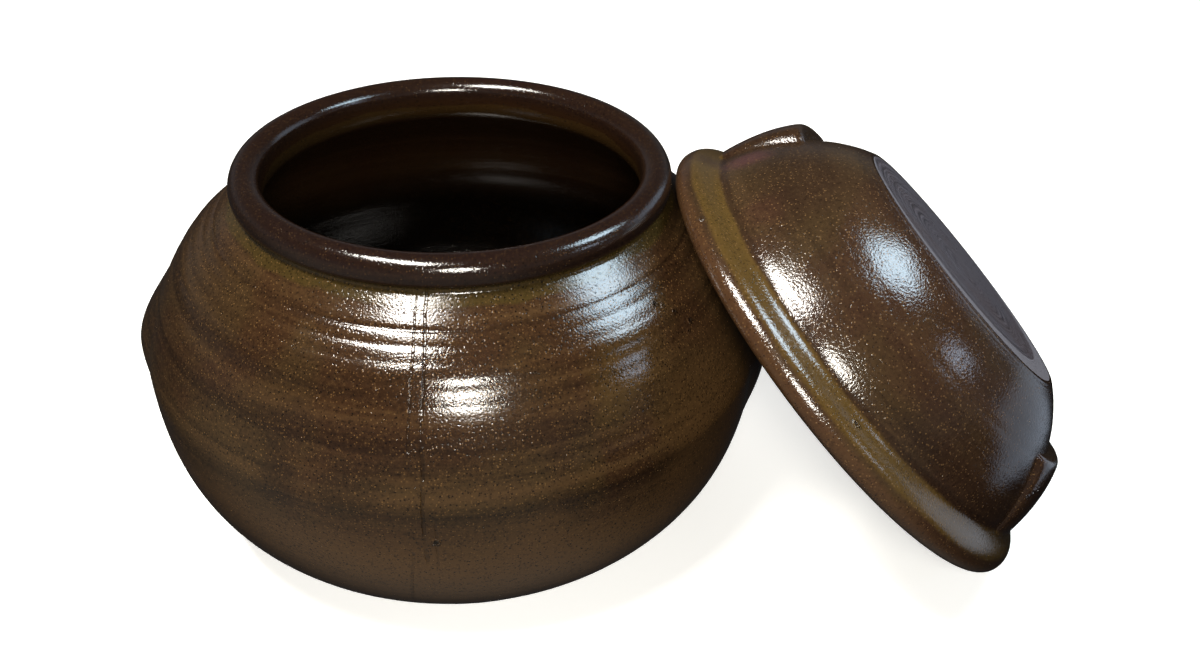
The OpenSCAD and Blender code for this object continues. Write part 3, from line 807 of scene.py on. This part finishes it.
# ears of the lid: thick lugs that start in the hollow of the lip and end blunt
lidEar = {
    "from": 11.5, "to": 46.5, "rounding": 4.0, "footShare": 0.4, "halfAngle": 17.0, "fullness": 0.35,
    "sideSoftness": 0.035, "endSoftness": 0.7, "endFade": 1.2, "columns": 90, "step": 0.8, "bury": 1.2,
    "backing": 2.6,
    # where the wall would be behind the lip, with heights over "from"
    "wallFoot": [(97.7, -1.0), (97.4, 0.0)],
    # CAD node, angle round the lid, reach
    "each": {"lidEarUpper": ("lid_ear_upper", 50.0, 7.2), "lidEarLower": ("lid_ear_lower", 232.0, 5.2)},
}
guide = np.vstack([np.array(lidEar["wallFoot"]) + [0, lidEar["from"]], lidWall])
guide = walk(guide[guide[:, 1] < lidEar["to"] + 4], lidEar["step"])
run = travelled(guide)
slope = float(np.interp(lidEar["to"], guide[:, 1], run)) - lidEar["rounding"]
for name, (node, angle, reach) in lidEar["each"].items():
    heights = earHeights(run, lidEar, slope, reach)
    piece = earPiece(name, lidEar, angle, guide, heights, glazeOnLid, lidPlace)
    earObjects.append((piece, "lid", "lid_glaze", [node]))
print("lid ears shaped")

grains = {
    "radius": 0.17, "perSquareMetre": {"jar": 9000.0, "lid": 8000.0}, "seed": {"jar": 21, "lid": 22},
    "look": {"black": "#120b08", "ochre": "#503719", "tan": "#8a6c42"},
}
sandInGlaze = grainMaterial("sandInGlaze", grains["look"])


def scatterGrains(name, pot, body):
    return runTree(pot, grainTree, {
        "Grain Radius": grains["radius"] * mm, "Grains per Square Metre": grains["perSquareMetre"][body],
        "Seed": grains["seed"][body], "Grain": sandInGlaze}, name)


jarGrains, lidGrains = scatterGrains("jarGrains", jarBody, "jar"), scatterGrains("lidGrains", lidBowl, "lid")
print("grains scattered:", len(jarGrains.data.polygons), len(lidGrains.data.polygons))

potObjects = [(jarBody, "jar", "jar_glaze", ["jar_body"]), (lidBowl, "lid", "lid_glaze", ["lid_bowl"]),
              (jarGrains, "jar", "jar_glaze", []), (lidGrains, "lid", "lid_glaze", [])]
for piece, body, slot, nodes in potObjects + earObjects:
    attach(piece, body)
    if nodes:
        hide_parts(*nodes)

studio = {
    "floorColour": "#f4f3f0", "floorFibre": "#f8f8f6", "floorSize": 14.0, "floorGlow": 0.6,
    "skyTop": "#4c4c4c", "skySide": "#8f97a0", "skyLow": "#d6cfc4", "skyLowBehind": "#4a4c4e",
    "skyLowRight": "#26262a", "skyStrength": 0.3,
    # place, size, strength in watts and colour of each soft light, aimed at the middle of the object, and
    # whether it shows in the gloss, the colour or both; tableGlow is the sheen that a table gives the glaze,
    # since the paper here doesn't mirror
    "aim": (0.06, -0.06, 0.11),
    "lights": {
        "highLeft": ((-0.32, -0.27, 1.03), (0.46, 0.18), 17.0, "#fffaf2", "both"),
        "lowFront": ((0.00, -0.56, 0.43), (0.12, 0.11), 2.7, "#fffaf0", "both"),
        "highRight": ((0.34, -0.07, 0.44), (0.15, 0.13), 1.0, "#cfe8f8", "both"),
        "lowRight": ((0.68, -0.33, 0.37), (0.10, 0.09), 0.22, "#cfe2fa", "both"),
        "tableGlow": ((0.41, -0.085, 0.03), (0.20, 0.14), 0.08, "#c3d2e6", "gloss"),
        "rightWall": ((1.25, 0.50, 0.40), (0.80, 0.60), 1.9, "#b9cce2", "both"),
        "backSoft": ((-0.20, 1.50, 0.90), (1.60, 0.80), 11.0, "#f4f4f6", "colour"),
    },
}
# matte paper: faintly fibrous, and it glows a little so that it stays white under the lid
paper, tree = newMaterial("matteStudioPaper")
place = addNode(tree, "ShaderNodeTexCoord", out="Object")
fibre = addNode(tree, "ShaderNodeTexNoise", {"Vector": place, "Scale": 900.0, "Detail": 2.0})
tone = paint(tree, studio["floorColour"], [(studio["floorFibre"], (fibre, 0.3, 0.7))])
shader = addNode(tree, "ShaderNodeBsdfPrincipled", {
    "Base Color": tone, "Roughness": 0.9, "Emission Color": tone, "Emission Strength": studio["floorGlow"]})
addNode(tree, "ShaderNodeOutputMaterial", {0: shader})
s = studio["floorSize"] / 2
floorMesh = bpy.data.meshes.new("studioFloor")
floorMesh.from_pydata([(-s, -s, 0), (s, -s, 0), (s, s, 0), (-s, s, 0)], [], [(0, 1, 2, 3)])
floorMesh.materials.append(paper)
floor = addObject("studioFloor", floorMesh)
# the paper doesn't brighten the underside or mirror in the glaze, as in the photograph's cut-out
floor.visible_glossy = False
floor.visible_diffuse = False

# air: dim overhead and paler at the sides; low down bright in front, dimmer behind and dark on the right
world = bpy.data.worlds.new("softStudioAir")
scene.world = world
world.use_nodes = True
tree = world.node_tree
tree.nodes.clear()
direction = addNode(tree, "ShaderNodeTexCoord", out="Generated")
rightward, backward, upward = addNode(tree, "ShaderNodeSeparateXYZ", {0: direction}, "all")
below = paint(tree, studio["skyLow"], [
    (studio["skyLowBehind"], (backward, -0.3, 0.5)), (studio["skyLowRight"], (rightward, 0.15, 0.75))])
air = paint(tree, studio["skySide"], [(studio["skyTop"], (upward, 0.05, 0.5)), (below, (upward, 0.05, -0.1))])
air = addNode(tree, "ShaderNodeBackground", {0: air, 1: studio["skyStrength"]})
addNode(tree, "ShaderNodeOutputWorld", {0: air})

for name, (spot, size, power, tint, reach) in studio["lights"].items():
    lamp = bpy.data.lights.new(name, "AREA")
    lamp.shape = "RECTANGLE"
    lamp.size, lamp.size_y = size
    lamp.energy = power
    lamp.color = hexColour(tint)[:3]
    holder = addObject(name, lamp)
    holder.location = spot
    holder.rotation_euler = (Vector(studio["aim"]) - Vector(spot)).to_track_quat("-Z", "Y").to_euler()
    holder.visible_camera = False
    holder.visible_diffuse = reach != "gloss"
    holder.visible_glossy = reach != "colour"
print("studio lit")

# camera, found from the photograph's outlines
view = {
    "place": (0.0, -0.4266035, 0.3547462), "right": (0.99174903, -0.12523694, 0.02737808),
    "up": (0.0470049, 0.55394524, 0.83122513), "forward": (0.11926605, 0.82307982, -0.5552614),
    "lens": 34.5,
}
lens = bpy.data.cameras.new("camera")
lens.lens = view["lens"]
lens.sensor_width = 36.0
lens.sensor_fit = "HORIZONTAL"
lens.clip_start, lens.clip_end = 0.01, 50.0
camera = addObject("camera", lens)
turnCamera = Matrix((view["right"], view["up"], [-v for v in view["forward"]])).transposed().to_4x4()
camera.matrix_world = Matrix.Translation(view["place"]) @ turnCamera
scene.camera = camera
scene.view_settings.view_transform = "Standard"
scene.view_settings.look = "None"
